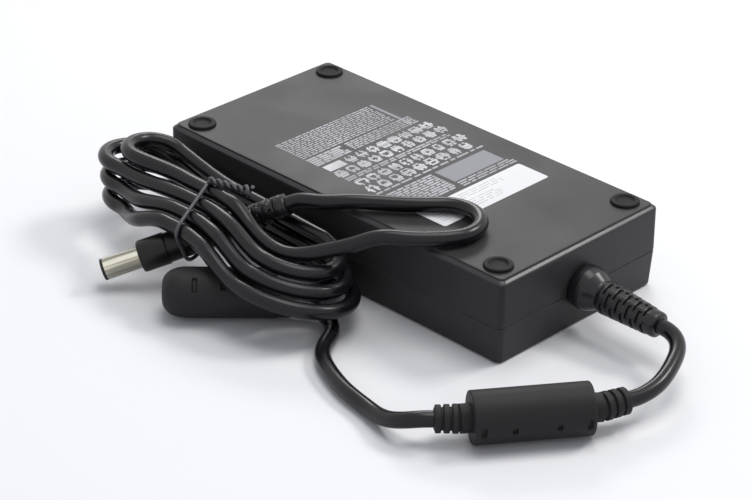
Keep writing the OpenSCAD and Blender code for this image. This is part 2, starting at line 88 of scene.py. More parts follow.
def rounded_rectangle(half_x, half_y, radius, steps):
    """Outline about the origin: four quarter circles, each in so many steps, joined by straight sides."""
    turn = np.linspace(0, np.pi / 2, steps + 1)
    angle = np.concatenate([turn + quarter * np.pi / 2 for quarter in range(4)])
    sign_x = np.repeat([1, -1, -1, 1], steps + 1)
    sign_y = np.repeat([1, 1, -1, -1], steps + 1)
    x = sign_x * (half_x - radius) + radius * np.cos(angle)
    y = sign_y * (half_y - radius) + radius * np.sin(angle)
    return np.column_stack([x, y])


def case_outline(inset):
    """Outline of the housing drawn in by inset, with tighter corners the further in it lies."""
    radius = max(0.6, CORNER_R - inset * 0.5)
    return rounded_rectangle(CASE_L / 2 - inset, CASE_W / 2 - inset, radius, 12)


def stacked_rings(levels, outline=case_outline):
    """Rings of an outline, one for each (inset, z) level, as an array of shape rings x points x 3."""
    rings = []
    for inset, z in levels:
        flat = outline(inset)
        rings.append(np.column_stack([flat, np.full(len(flat), z)]))
    return np.array(rings)


def ring_faces(rows, count, closed=False):
    """Quads between each ring of points and the next, wound so that rings that climb face outwards."""
    row = np.arange(rows if closed else rows - 1)[:, None]
    col = np.arange(count)[None, :]
    above = (row + 1) % rows
    a, b = row * count + col, row * count + (col + 1) % count
    c, d = above * count + (col + 1) % count, above * count + col
    return np.stack([a, b, c, d], -1).reshape(-1, 4)


def mesh_piece(name, points, faces, materials, sharp=CREASE, uv=None, body="root"):
    """Makes an object from points in millimetres and a list of faces, and lets it ride on the body."""
    mesh = bpy.data.meshes.new(name)
    mesh.from_pydata((np.asarray(points, float).reshape(-1, 3) * MM).tolist(), [],
                     [list(map(int, f)) for f in faces])
    mesh.validate()
    mesh.polygons.foreach_set("use_smooth", [True] * len(mesh.polygons))
    mesh.set_sharp_from_angle(angle=math.radians(sharp))
    if uv is not None:
        layer = mesh.uv_layers.new(name="along")
        corner = np.empty(len(mesh.loops), dtype=np.int32)
        mesh.loops.foreach_get("vertex_index", corner)
        layer.data.foreach_set("uv", np.asarray(uv, float)[corner].ravel())
    mesh.update()
    for material in (materials if isinstance(materials, list) else [materials]):
        mesh.materials.append(material)
    piece = bpy.data.objects.new(name, mesh)
    bpy.context.scene.collection.objects.link(piece)
    if body:
        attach(piece, body)
    return piece


def closed_shell(rings):
    """Points and faces of a skin over a stack of rings, with a flat cap at each end."""
    rows, count = rings.shape[:2]
    faces = ring_faces(rows, count).tolist()
    faces.append(list(range(count))[::-1])
    faces.append(list(range((rows - 1) * count, rows * count)))
    return rings.reshape(-1, 3), faces


def noise(material, place, scale, detail, roughness=0.5):
    """Adds a noise texture over the coordinates that place gives, and returns its value."""
    texture = material.node_tree.nodes.new("ShaderNodeTexNoise")
    texture.inputs["Scale"].default_value = scale
    texture.inputs["Detail"].default_value = detail
    texture.inputs["Roughness"].default_value = roughness
    material.node_tree.links.new(place, texture.inputs["Vector"])
    return texture.outputs["Fac"]


def shade_ramp(material, value, low, high, dark, light):
    """Colours a material by a value: dark where it is at low or under, light at high or over."""
    nodes, links = material.node_tree.nodes, material.node_tree.links
    ramp = nodes.new("ShaderNodeValToRGB")
    first, last = ramp.color_ramp.elements
    first.position, last.position = low, high
    first.color, last.color = [*dark, 1], [*light, 1]
    links.new(value, ramp.inputs["Fac"])
    links.new(ramp.outputs["Color"], nodes["Principled BSDF"].inputs["Base Color"])


def grained_plastic(name, colour, roughness, grain, depth, spread=0.06, mottle=0.12, specular=0.5):
    """Moulded plastic: a fine spark-eroded grain as bump, with slow drifts in shade and gloss."""
    material = bpy.data.materials.new(name)
    material.use_nodes = True
    nodes, links = material.node_tree.nodes, material.node_tree.links
    shader = nodes["Principled BSDF"]
    shader.inputs["Specular IOR Level"].default_value = specular
    place = nodes.new("ShaderNodeTexCoord").outputs["Object"]
    slow = noise(material, place, scale=38, detail=5)
    dark, light = [c * (1 - mottle) for c in colour], [c * (1 + mottle) for c in colour]
    shade_ramp(material, slow, 0.3, 0.72, dark, light)
    gloss = nodes.new("ShaderNodeMapRange")
    gloss.inputs["From Min"].default_value = 0.3
    gloss.inputs["From Max"].default_value = 0.7
    gloss.inputs["To Min"].default_value = roughness - spread
    gloss.inputs["To Max"].default_value = roughness + spread
    links.new(slow, gloss.inputs["Value"])
    links.new(gloss.outputs["Result"], shader.inputs["Roughness"])
    bump = nodes.new("ShaderNodeBump")
    bump.inputs["Strength"].default_value = 0.6
    bump.inputs["Distance"].default_value = depth * MM
    links.new(noise(material, place, scale=1000 / grain, detail=3), bump.inputs["Height"])
    links.new(bump.outputs["Normal"], shader.inputs["Normal"])
    return material


def cut_away(piece, *cutters):
    """Takes the cutters out of a piece by an exact boolean, and leaves the result in its mesh."""
    for cutter in cutters:
        step = piece.modifiers.new("cut", "BOOLEAN")
        step.operation = "DIFFERENCE"
        step.solver = "EXACT"
        step.object = cutter
    depsgraph = bpy.context.evaluated_depsgraph_get()
    result = bpy.data.meshes.new_from_object(piece.evaluated_get(depsgraph))
    piece.modifiers.clear()
    old = piece.data
    piece.data = result
    bpy.data.meshes.remove(old)
    result.name = piece.name
    result.polygons.foreach_set("use_smooth", [True] * len(result.polygons))
    result.set_sharp_from_angle(angle=math.radians(CREASE))
    for cutter in cutters:
        bpy.data.objects.remove(cutter)


def cutting_solid(rings):
    """Solid over a stack of rings, for cutting only."""
    return mesh_piece("cutter", *closed_shell(np.array(rings)), [], body=None)


def circle(sides):
    """Cosines and sines of even steps round a full turn, as an array of shape sides x 2."""
    a = np.linspace(0, 2 * np.pi, sides, endpoint=False)
    return np.column_stack([np.cos(a), np.sin(a)])


def foot_recess(x, y):
    """Cutter for the round recess that a foot is glued into."""
    ring, heights = np.array([x, y]) + (FOOT_R + CLEARANCE) * circle(64), (CASE_H - FOOT_RECESS, CASE_H + 2)
    return cutting_solid([np.column_stack([ring, np.full(64, z)]) for z in heights])


def inlet_opening(z_low, z_high):
    """Cutter for the opening of the mains inlet, between two heights."""
    x, y = (-CASE_L / 2 - 1.5, INLET_BACK_X), INLET_HALF_W + CLEARANCE
    ring = np.array([[x[0], -y], [x[1], -y], [x[1], y], [x[0], y]])
    return cutting_solid([np.column_stack([ring, np.full(4, z)]) for z in (z_low, z_high)])


def outlet_hole():
    """Cutter for the round hole in the end wall that the cord leaves through."""
    ring = np.array([0, AXIS_Z]) + OUTLET_HOLE_R * circle(64)
    inside, outside = CASE_L / 2 - 5.5, CASE_L / 2 + 2.5
    return cutting_solid([np.column_stack([np.full(64, x), ring]) for x in (inside, outside)])


shell_plastic = grained_plastic("shell_plastic", (0.034, 0.034, 0.035), 0.44, 0.55, 0.045, specular=0.19)

side_levels = [(WALL, SEAM_Z), (0.3, SEAM_Z), (0.3, SEAM_Z + 0.05), (0.06, SEAM_Z + 0.32),
               (0.03, SEAM_Z + 1.0), (0.12, 27.6), (0.13, 28.3)]
rim_levels = [(0.2, 28.52), (0.34, 28.7), (0.52, 28.85), (0.88, 29.11), (1.08, 29.24), (1.24, 29.33),
              (1.34, 29.4)]
panel_levels = [(1.5, 29.41), (1.53, 29.5), (1.56, 29.84), (1.62, 29.95), (1.74, CASE_H), (2.1, CASE_H),
                (3.0, CASE_H)]
upper_rings = stacked_rings(side_levels + rim_levels + panel_levels)
upper_shell = mesh_piece("upper_shell", *closed_shell(upper_rings), shell_plastic)
roof = CASE_H - PANEL_H - WALL
hollow_levels = [(WALL, SEAM_Z - 1), (WALL + 0.2, roof - 1), (WALL + 1, roof)]
cut_away(upper_shell, cutting_solid(stacked_rings(hollow_levels)),
         *[foot_recess(sx * FOOT_X, sy * FOOT_Y) for sx in (-1, 1) for sy in (-1, 1)],
         inlet_opening(SEAM_Z - 8, AXIS_Z + INLET_HALF_H + CLEARANCE), outlet_hole())

# The bevel round the panel, which faces up and out, is smoother than the grained faces beside it; its colour
# is also painted a shade lighter than theirs, a painted highlight along the rim
smooth_rim_painted_lighter = grained_plastic("smooth_rim_painted_lighter", (0.036, 0.036, 0.038), 0.3, 0.55, 0.006, specular=0.29)
upper_shell.data.materials.append(smooth_rim_painted_lighter)
face_count = len(upper_shell.data.polygons)
middle, facing = np.empty(face_count * 3), np.empty(face_count * 3)
upper_shell.data.polygons.foreach_get("center", middle)
upper_shell.data.polygons.foreach_get("normal", facing)
middle, facing = middle.reshape(-1, 3) / MM, facing.reshape(-1, 3)
on_rim = (middle[:, 2] > RIM_LOW) & (middle[:, 2] < RIM_HIGH) & (facing[:, 2] > 0.1) & (facing[:, 2] < 0.98)
upper_shell.data.polygons.foreach_set("material_index", on_rim.astype(int))
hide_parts("upper_case")

BASE_INSET, BASE_R = 1.7, 0.9
lower_levels = [(6.0, 0.0), (2.2, 0.0)]
for a in np.linspace(0, 1.45, 6):
    lower_levels.append((BASE_INSET - BASE_R * math.sin(a), BASE_R - BASE_R * math.cos(a)))
lower_levels += [(0.75, 1.4), (0.1, SEAM_Z - 0.9), (0.06, SEAM_Z - 0.32), (0.3, SEAM_Z - 0.05),
                 (0.3, SEAM_Z), (WALL, SEAM_Z)]
lower_shell = mesh_piece("lower_shell", *closed_shell(stacked_rings(lower_levels)), shell_plastic)
trough_levels = [(WALL + 1.5, WALL), (WALL + 0.6, SEAM_Z - 0.6), (WALL + 0.6, SEAM_Z + 3)]
cut_away(lower_shell, cutting_solid(stacked_rings(trough_levels)),
         inlet_opening(AXIS_Z - INLET_HALF_H - CLEARANCE, SEAM_Z + 12), outlet_hole())
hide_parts("lower_case")


# ---- Feet -------------------------------------------------------------------
# Four round feet of black rubber, each with a rolled rim and a shallow dish,
# glued into round recesses of the panel.

def axis_frame(direction):
    """Unit vector along a direction, and two more square to it, the first of them level."""
    axis = np.array(direction, float) / np.linalg.norm(direction)
    aside = np.cross([0, 0, 1.0], axis) if abs(axis[2]) < 0.99 else np.array([1.0, 0, 0])
    aside = aside / np.linalg.norm(aside)
    return axis, aside, np.cross(axis, aside)


def turned_rings(origin, direction, along, radius, sides):
    """Rings of points about an axis, one for each place along it.

    The radius has a row for each place, with one column for all sides or one for each."""
    axis, aside, upward = axis_frame(direction)
    turn = circle(sides)
    wheel = turn[:, [0]] * aside + turn[:, [1]] * upward
    return np.array(origin) + along[:, None, None] * axis + radius[:, :, None] * wheel


def turned_piece(name, profile, material, origin, direction=(0, 0, 1)):
    """Solid of revolution from (along, radius) points, of which the first and the last are on the axis."""
    profile = np.array(profile, float)
    sides = 64
    rings = turned_rings(origin, direction, profile[1:-1, 0], profile[1:-1, 1:], sides)
    axis = axis_frame(direction)[0]
    ends = [np.array(origin) + profile[k, 0] * axis for k in (0, -1)]
    count = len(rings) * sides
    last = count - sides
    faces = ring_faces(len(rings), sides).tolist()
    faces += [[count, (k + 1) % sides, k] for k in range(sides)]
    faces += [[count + 1, last + k, last + (k + 1) % sides] for k in range(sides)]
    return mesh_piece(name, np.vstack([rings.reshape(-1, 3), ends]), faces, material, sharp=40)


def arc(cx, cr, radius, start, stop, steps):
    """Points of a circular arc in (along, radius) space, angles in degrees from the axis direction."""
    a = np.radians(np.linspace(start, stop, steps))
    return np.column_stack([cx + radius * np.cos(a), cr + radius * np.sin(a)]).tolist()


foot_rubber = grained_plastic("foot_rubber", (0.012, 0.012, 0.013), 0.6, 0.35, 0.02, specular=0.14)
foot_profile = [[0, 0], [0, FOOT_R - 0.1], [0.1, FOOT_R]] + arc(1.0, FOOT_R - 0.5, 0.5, 90, 0, 7)
foot_profile += [[1.5, FOOT_R - 1.2]] + arc(1.2, FOOT_R - 1.35, 0.3, 0, -80, 5)
foot_profile += [[0.92, FOOT_R - 2.0], [0.82, 1.6], [0.8, 0.5], [0.8, 0]]
for number, (sx, sy) in enumerate([(-1, -1), (1, -1), (-1, 1), (1, 1)], start=1):
    foot = turned_piece(f"foot_{number}", foot_profile, foot_rubber,
                        origin=(sx * FOOT_X, sy * FOOT_Y, CASE_H - FOOT_RECESS))
    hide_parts(f"rubber_foot_{number}")


# ---- Rating print and sticker -----------------------------------------------
# The panel carries a pad-printed block in pale grey ink and beside it a white
# paper sticker. Both are generic: rows of bars and of roundish marks, with some
# blank fields, and no words or signs.

STICKER_PLACE = np.array([33.25, 1.0])
STICKER_HALF_X, STICKER_HALF_Y, STICKER_CORNER_R = 6.75, 25.0, 0.9


def flat_bars(rects, z_low, z_high):
    """One closed slab for each (x0, x1, y0, y1) rectangle, all of them in one set of arrays."""
    r = np.array(rects, float)
    bits = np.array([[0, 0, 0], [1, 0, 0], [1, 1, 0], [0, 1, 0], [0, 0, 1], [1, 0, 1], [1, 1, 1], [0, 1, 1]])
    x = r[:, [0]] + (r[:, [1]] - r[:, [0]]) * bits[:, 0]
    y = r[:, [2]] + (r[:, [3]] - r[:, [2]]) * bits[:, 1]
    z = np.broadcast_to(z_low + (z_high - z_low) * bits[:, 2], x.shape)
    points = np.stack([x, y, z], -1).reshape(-1, 3)
    box = np.array([[0, 3, 2, 1], [4, 5, 6, 7], [0, 1, 5, 4], [1, 2, 6, 5], [2, 3, 7, 6], [3, 0, 4, 7]])
    faces = (np.arange(len(r))[:, None, None] * 8 + box).reshape(-1, 4)
    return points, faces


random_bars = np.random.default_rng(7)


def ruled_field(x0, x1, y0, y1, pitch, thick, shortest, longest, space):
    """Rows of bars along Y, stepped by pitch in X, of uneven lengths with small spaces between."""
    rects = []
    for x in np.arange(x0, x1 - thick, pitch):
        y = y0
        while y < y1 - shortest * 0.6:
            length = random_bars.uniform(shortest, longest)
            rects.append((x, x + thick, y, min(y + length, y1)))
            y += length + space * random_bars.uniform(0.8, 1.5)
    return rects


def small_marks(x, y0, y1, step, size):
    """A row of roundish marks along Y: each is a stack of bars cut to a disc, some of them open inside."""
    rects = []
    for y in np.arange(y0, y1, step):
        count = random_bars.integers(5, 8)
        width = size * random_bars.uniform(0.85, 1.15)
        for k in range(count):
            across = (2 * k + 1) / count - 1
            half = width * np.sqrt(1 - 0.8 * across ** 2) * random_bars.uniform(0.75, 1.0) / 2
            low = x + size * (k / count - 0.5)
            high = low + size / count * random_bars.uniform(0.6, 0.95)
            opening = half * random_bars.uniform(-0.5, 0.6)
            if opening > 0:
                rects += [(low, high, y - half, y - opening), (low, high, y + opening, y + half)]
            else:
                rects.append((low, high, y - half, y + half))
    return rects


def print_layer(name, rects, low, high, ink):
    """Piece of flat slabs that reach from low to high above the panel."""
    layer = mesh_piece(name, *flat_bars(rects, CASE_H + low, CASE_H + high), ink, sharp=20)


def sticker_outline(inset):
    """Outline of the sticker in its place, drawn in by inset."""
    half_x, half_y = STICKER_HALF_X - inset, STICKER_HALF_Y - inset
    return STICKER_PLACE + rounded_rectangle(half_x, half_y, STICKER_CORNER_R, 6)


print_ink = grained_plastic("print_ink", (0.38, 0.38, 0.40), 0.5, 0.4, 0.01, mottle=0.5)
bold_ink = grained_plastic("bold_ink", (0.58, 0.58, 0.60), 0.5, 0.4, 0.01, mottle=0.4)
print_tint = grained_plastic("print_tint", (0.20, 0.20, 0.225), 0.5, 0.4, 0.01)
# Bars of each field: x0, x1, y0, y1, pitch, thickness, shortest, longest and space
bar_fields = [
    (-39.5, -25.5, -24, 20, 1.2, 0.62, 0.8, 3.2, 0.4),
    (-24.5, -18.5, -24, -8, 1.25, 0.95, 2.0, 6.0, 0.4),
    (-24.5, -18.0, -6, 25, 1.2, 0.7, 0.8, 3.0, 0.4),
    (-5.9, -3.4, -24, 25, 1.25, 0.85, 1.5, 5.0, 0.6),
    (8.7, 10.6, -24, 27, 1.25, 0.85, 2.0, 6.0, 0.8),
    (11.5, 25, -24, -1, 1.3, 0.85, 1.2, 5.0, 0.45),
    (21.6, 25, 1, 27, 1.3, 0.75, 2.0, 7.0, 0.6),
]
# Marks of each row: x, y0, y1, step and size
mark_rows = [
    (-14.8, -12, 26, 5.2, 4.8),
    (-9.2, -22, 27, 5.3, 4.8),
    (-0.4, -21, 27, 5.2, 4.8),
    (5.3, -22, 26, 5.6, 5.0),
]
blank_field = (-17.0, -12.8, -23.5, -15.5)
tinted_fields = [(11.5, 20.8, 1.0, 25.0), (-39.5, -19.5, 21.2, 22.4)]
bars = [bar for field in bar_fields for bar in ruled_field(*field)]
marks = [blank_field] + [bar for row in mark_rows for bar in small_marks(*row)]
print_layer("rating_print", bars, 0.012, 0.03, print_ink)
print_layer("print_marks", marks, 0.012, 0.03, bold_ink)
print_layer("print_field", tinted_fields, 0.004, 0.02, print_tint)

sticker_paper = grained_plastic("sticker_paper", (0.74, 0.74, 0.75), 0.55, 0.3, 0.01, mottle=0.03)
sticker_ink = grained_plastic("sticker_ink", (0.42, 0.42, 0.43), 0.55, 0.3, 0.01)
sticker_levels = [(0.0, CASE_H + 0.01), (0.0, CASE_H + 0.07), (0.06, CASE_H + 0.1)]
sticker_rings = stacked_rings(sticker_levels, sticker_outline)
bare_sticker = mesh_piece("bare_sticker", *closed_shell(sticker_rings), sticker_paper)
rules = ruled_field(28.2, 31.5, -20, 14, 1.25, 0.32, 2.0, 6.0, 0.8)
rules += ruled_field(33.0, 38.4, -22, 8, 1.3, 0.3, 2.0, 7.0, 1.0)
print_layer("sticker_rules", rules, 0.09, 0.112, sticker_ink)


# ---- Mains inlet and what the housing holds ---------------------------------
# A three-pole inlet with its contacts is set into the far end. Behind it hangs
# the board with the fuse, filters, chokes, capacitors, switch and transformer.

def metal_finish(name, colour, roughness):
    """Plated or rolled metal: full metallic shader with faint uneven gloss and a very fine grain."""
    material = grained_plastic(name, colour, roughness, 0.8, 0.004, spread=0.05, mottle=0.05)
    material.node_tree.nodes["Principled BSDF"].inputs["Metallic"].default_value = 1.0
    return material


hidden_finishes = [
    (grained_plastic("black_plastic", (0.02, 0.02, 0.021), 0.42, 0.5, 0.015),
     ["ac_inlet_body", "bridge_rectifier", "switch_transistor", "output_rectifier", "plug_insulator"]),
    (metal_finish("plated_contact", (0.74, 0.73, 0.70), 0.24),
     ["inlet_line_pin", "inlet_neutral_pin", "inlet_earth_pin"]),
    (grained_plastic("ferrite", (0.045, 0.045, 0.048), 0.66, 0.25, 0.03),
     ["ferrite_core_1", "ferrite_core_2", "transformer_core"]),
    (grained_plastic("board_green", (0.03, 0.14, 0.06), 0.38, 1.2, 0.02, mottle=0.2), ["main_board"]),
    (grained_plastic("sheet_film", (0.62, 0.62, 0.56), 0.3, 3.0, 0.01), ["insulating_sheet"]),
    (metal_finish("sheet_metal", (0.72, 0.73, 0.74), 0.35),
     ["shield_plate", "primary_heatsink", "secondary_heatsink"]),
    (grained_plastic("fuse_glass", (0.42, 0.36, 0.26), 0.25, 1.0, 0.01), ["inlet_fuse"]),
    (grained_plastic("cap_yellow", (0.55, 0.42, 0.05), 0.4, 0.6, 0.01), ["x_capacitor"]),
    (grained_plastic("choke_green", (0.05, 0.2, 0.08), 0.35, 0.9, 0.08), ["common_mode_choke"]),
    (metal_finish("choke_copper", (0.5, 0.22, 0.1), 0.32), ["pfc_choke", "output_choke"]),
    (grained_plastic("cap_blue", (0.04, 0.06, 0.22), 0.28, 1.5, 0.01), ["bulk_capacitor", "y_capacitor"]),
    (grained_plastic("tape_yellow", (0.62, 0.45, 0.05), 0.3, 2.0, 0.02), ["transformer_winding"]),
    (grained_plastic("cap_green", (0.04, 0.17, 0.12), 0.28, 1.5, 0.01), ["output_capacitors"]),
    (grained_plastic("wire_red", (0.38, 0.02, 0.02), 0.35, 0.8, 0.01), ["output_wires"]),
    (metal_finish("contact_brass", (0.78, 0.6, 0.3), 0.26), ["plug_centre_pin"]),
]
for finish, node_names in hidden_finishes:
    for node_name in node_names:
        node_materials = bpy.data.objects[node_name].data.materials
        node_materials.clear()
        node_materials.append(finish)


# ---- Cord outlet ------------------------------------------------------------
# Bell and flexible sleeve of soft black vinyl, moulded over the cord. Rows of
# slots, each row turned by half a slot, let the sleeve bend.

OUTLET_TILT = math.radians(3.2)
outlet_dir = np.array([math.cos(OUTLET_TILT), 0, -math.sin(OUTLET_TILT)])
outlet = np.array([CASE_L / 2, 0, AXIS_Z])
RELIEF_L = 32.5
OUTLET_ROWS, ROWS_FROM, ROWS_TO, SLOT_DEPTH, SLOTS = 9, 11.0, 29.0, 0.8, 4
soft_vinyl = grained_plastic("soft_vinyl", (0.011, 0.011, 0.013), 0.26, 0.6, 0.012, specular=0.36)


def soft_edge(inside, width):
    """Window from 0 to 1 that rises over width, half of it each side of where inside is zero."""
    return np.clip(inside / width + 0.5, 0, 1)


def fine_profile(profile, step, sides):
    """Places along a profile, at its points and at even steps, and the radius there for each side."""
    along, radius = np.array(profile, float).T
    s = np.unique(np.concatenate([along, np.arange(along[0], along[-1], step)]))
    return s, np.repeat(np.interp(s, along, radius)[:, None], sides, 1)


def slotted_sleeve(name, origin, direction, profile, slots, wide):
    """Surface of revolution whose radius is lowered inside slots.

    The radius at (s, angle) is the profile's radius at s, less depth times a smooth window in s
    and a smooth window in angle for each slot row (s0, s1, depth, count, phase). The slots take
    the share wide of each row."""
    sides = 96
    s, radius = fine_profile(profile, 0.25, sides)
    a = np.linspace(0, 2 * np.pi, sides, endpoint=False)
    for s0, s1, depth, count, phase in slots:
        beat = np.abs(((a * count / (2 * np.pi) + phase) % 1) - 0.5) * 2
        run = soft_edge(np.minimum(s - s0, s1 - s), 0.22)
        radius -= depth * run[:, None] * soft_edge(wide - beat, 0.12)
    rings = turned_rings(origin, direction, s, radius, sides)
    return mesh_piece(name, *closed_shell(rings), soft_vinyl, sharp=42)


bell_profile = [(0.15, 6.3), (0.2, 6.7), (0.6, 7.1), (1.3, 7.4), (2.2, 7.5), (3.6, 7.5), (4.8, 7.3),
                (6.0, 6.9), (7.0, 6.35), (8.0, 5.75), (8.9, 5.2), (9.6, 4.95), (10.2, 5.0), (10.7, 5.5),
                (11.2, 5.6), (28.6, 4.6), (29.0, 4.5), (29.2, 4.35), (31.6, 4.3), (32.2, 4.15),
                (RELIEF_L, 3.8)]
row_pitch = (ROWS_TO - ROWS_FROM) / OUTLET_ROWS
outlet_slots = [(ROWS_FROM + (k + 0.5) * row_pitch, ROWS_FROM + (k + 1) * row_pitch - 0.08,
                 SLOT_DEPTH, SLOTS, 0.25 + 0.5 * (k % 2)) for k in range(OUTLET_ROWS)]
output_relief = slotted_sleeve("output_relief", outlet, outlet_dir, bell_profile, outlet_slots, wide=0.62)
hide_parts("output_strain_relief")


# ---- Ferrite sleeves --------------------------------------------------------
# Each ferrite ring core is overmoulded with black plastic, in which the pins
# that held it in the mould left pockets. The first has a ribbed collar at each
# end. The cord enters and leaves the second at one end, through two short stubs.

FERRITE_R, FERRITE_L = 8.25, 36.8
POCKET_HALF_L, POCKET_DEPTH = 0.7, 0.95
MOULD_LINE_H, MOULD_LINE_TURN = 0.06, 0.9
RIB_R, RIB_H, RIBS = 4.5, 0.8, 3
ferrite_plastic = grained_plastic("ferrite_plastic", (0.017, 0.017, 0.018), 0.55, 0.5, 0.02, specular=0.2)


def heading(degrees):
    """Level unit vector at an angle from +X."""
    a = math.radians(degrees)
    return np.array([math.cos(a), math.sin(a), 0.0])


def ferrite_shell(origin, degrees, reach, drop, pocket_turn, pockets):
    """Drum with pockets along one side and a fine mould line; its first end is rounded over reach and drop.

    The radius is the drum's own, less a smooth box window in (along, angle) for each pocket."""
    r, length, sides = FERRITE_R, FERRITE_L, 160
    quarter = np.linspace(0, np.pi / 2, 12)
    profile = [(reach * (1 - math.cos(t)), r - drop * (1 - math.sin(t))) for t in quarter]
    profile += [(length - 0.5, r), (length - 0.18, r - 0.1), (length - 0.03, r - 0.3), (length, r - 0.5)]
    s, radius = fine_profile(profile, 0.3, sides)
    full_width = radius > r - 0.05
    a = np.linspace(0, 2 * np.pi, sides, endpoint=False)
    turn = (a - math.radians(pocket_turn) + np.pi) % (2 * np.pi) - np.pi
    for centre, half in pockets:
        run = soft_edge(POCKET_HALF_L - np.abs(s - centre), 0.25)
        radius -= POCKET_DEPTH * run[:, None] * soft_edge(half - np.abs(turn) * r, 0.3)
    off_line = np.abs(((turn - MOULD_LINE_TURN + np.pi) % (2 * np.pi)) - np.pi) * r
    radius += MOULD_LINE_H * np.clip(1 - off_line / 0.25, 0, 1) * full_width
    return closed_shell(turned_rings(origin, heading(degrees), s, radius, sides))


def turned_collar(origin, direction, profile):
    """Points and faces of a turned collar from (along, radius) points."""
    profile = np.array(profile, float)
    return closed_shell(turned_rings(origin, direction, profile[:, 0], profile[:, 1:], 64))


def gathered(*parts):
    """Joins several (points, faces) sets into one."""
    points, faces, shift = [], [], 0
    for p, f in parts:
        points.append(np.asarray(p).reshape(-1, 3))
        faces += [[i + shift for i in face] for face in f]
        shift += len(points[-1])
    return np.vstack(points), faces


def ribbed_collar(origin, direction, length):
    """Points and faces of a collar whose soft-edged ribs grow a little smaller towards its end."""
    profile, pitch = [(-2, 3.2), (-2, 3.6)], (length - 0.2) / RIBS
    for i in range(RIBS):
        s, r = i * pitch, RIB_R - 0.1 * i
        profile += [(s, r - RIB_H), (s + 0.2 * pitch, r - RIB_H), (s + 0.25 * pitch, r - 0.2),
                    (s + 0.33 * pitch, r), (s + 0.86 * pitch, r), (s + 0.94 * pitch, r - 0.2),
                    (s + 0.985 * pitch, r - RIB_H)]
    return turned_collar(origin, direction, profile + [(length, 3.2)])


FIRST_TURN, FIRST_IN_TURN, FIRST_OUT_TURN = 54.4, 71, 227
FIRST_IN_L, FIRST_OUT_L, NECK_L = 9, 8, 3
first_start = np.array([99.9, -75.5, 8.4])
first_dir = heading(FIRST_TURN)
first_in_dir, first_out_dir = heading(FIRST_IN_TURN), heading(FIRST_OUT_TURN)
first_far = first_start + (FERRITE_L + NECK_L) * first_dir
first_near = first_start - NECK_L * first_dir
first_in, first_out = first_far + FIRST_IN_L * first_in_dir, first_near + FIRST_OUT_L * first_out_dir
neck = [(0, 4.25), (0.1, 4.5), (3.5, 4.5), (3.6, 4.25)]
first_pockets = [(2.6, 1.6), (12.0, 0.9), (25.5, 0.9), (FERRITE_L - 2.1, 1.6)]
ferrite_cover_a = mesh_piece("ferrite_shell_1", *gathered(
    ferrite_shell(first_start, FIRST_TURN, reach=0.5, drop=0.5, pocket_turn=186, pockets=first_pockets),
    turned_collar(first_start - (NECK_L + 0.4) * first_dir, first_dir, neck),
    turned_collar(first_start + (FERRITE_L - 0.2) * first_dir, first_dir, neck),
    ribbed_collar(first_far, first_in_dir, FIRST_IN_L),
    ribbed_collar(first_near, first_out_dir, FIRST_OUT_L)), ferrite_plastic, sharp=40)
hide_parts("ferrite_cover_1")

SECOND_TURN = 45
STUB_L, STUB_OUT, STUB_APART, STUB_LOWER = 5.5, 5, 6, 3.4
second_start = np.array([-20.0, -92.0, 8.4])
second_dir = heading(SECOND_TURN)
second_side = np.array([-second_dir[1], second_dir[0], 0])
second_face = second_start + (FERRITE_L + STUB_OUT) * second_dir - np.array([0, 0, STUB_LOWER])
second_in = second_face - STUB_APART / 2 * second_side
second_out = second_face + STUB_APART / 2 * second_side
stub = [(0, 3.2), (0.2, 3.45), (STUB_L - 0.3, 3.45), (STUB_L, 3.2)]
second_pockets = [(10.8, 2.5), (20.0, 1.4)]
ferrite_cover_b = mesh_piece("ferrite_shell_2", *gathered(
    ferrite_shell(second_start, SECOND_TURN, reach=7.4, drop=5.2, pocket_turn=135, pockets=second_pockets),
    turned_collar(second_in - STUB_L * second_dir, second_dir, stub),
    turned_collar(second_out - STUB_L * second_dir, second_dir, stub)), ferrite_plastic, sharp=40)
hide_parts("ferrite_cover_2")


# ---- Plug -------------------------------------------------------------------
# Barrel plug: a nickel-plated sleeve with a centre pin, held in a moulded body,
# with a slotted boot behind it that bends away with the cord.

plug_tip = np.array([-46.6, -94.8, 6.8])
plug_back = np.array([-18.6, -57.2, 21.8])
plug_end = np.array([-7.0, -48.7, 29.3])
plug_dir = (plug_back - plug_tip) / np.linalg.norm(plug_back - plug_tip)
boot_dir = (plug_end - plug_back) / np.linalg.norm(plug_end - plug_back)
plug_len = float(np.linalg.norm(plug_back - plug_tip))
boot_len = float(np.linalg.norm(plug_end - plug_back))
BARREL_R, BORE_R, BARREL_L, BARREL_BARE_L = 3.7, 2.5, 19.8, 13.0
TIP_RING_L = 0.9
GRIP_R = 5.4
BOOT_ROWS, BOOT_ROWS_FROM, BOOT_SLOT_DEPTH, BOOT_SLOTS = 6, 2.6, 0.75, 2
plug_vinyl = grained_plastic("plug_vinyl", (0.013, 0.013, 0.012), 0.34, 0.5, 0.012, specular=0.24)


def streaks_along(material, scale, detail, roughness=0.5):
    """Noise on the piece's own map, drawn out along it by the map's scale; returns its value."""
    nodes, links = material.node_tree.nodes, material.node_tree.links
    layout = nodes.new("ShaderNodeUVMap")
    layout.uv_map = "along"
    stretch = nodes.new("ShaderNodeMapping")
    stretch.inputs["Scale"].default_value = scale
    links.new(layout.outputs["UV"], stretch.inputs["Vector"])
    return noise(material, stretch.outputs["Vector"], scale=1, detail=detail, roughness=roughness)


def nickel_with_painted_reflections():
    """Nickel over a drawn brass tube, with dark and light streaks along it painted into its colour as
    painted reflections.
    """
    material = metal_finish("nickel", (0.74, 0.72, 0.65), 0.2)
    lines = streaks_along(material, (5.5, 14, 1), detail=3, roughness=0.6)
    shade_ramp(material, lines, 0.42, 0.56, (0.24, 0.23, 0.19), (0.76, 0.74, 0.64))
    return material


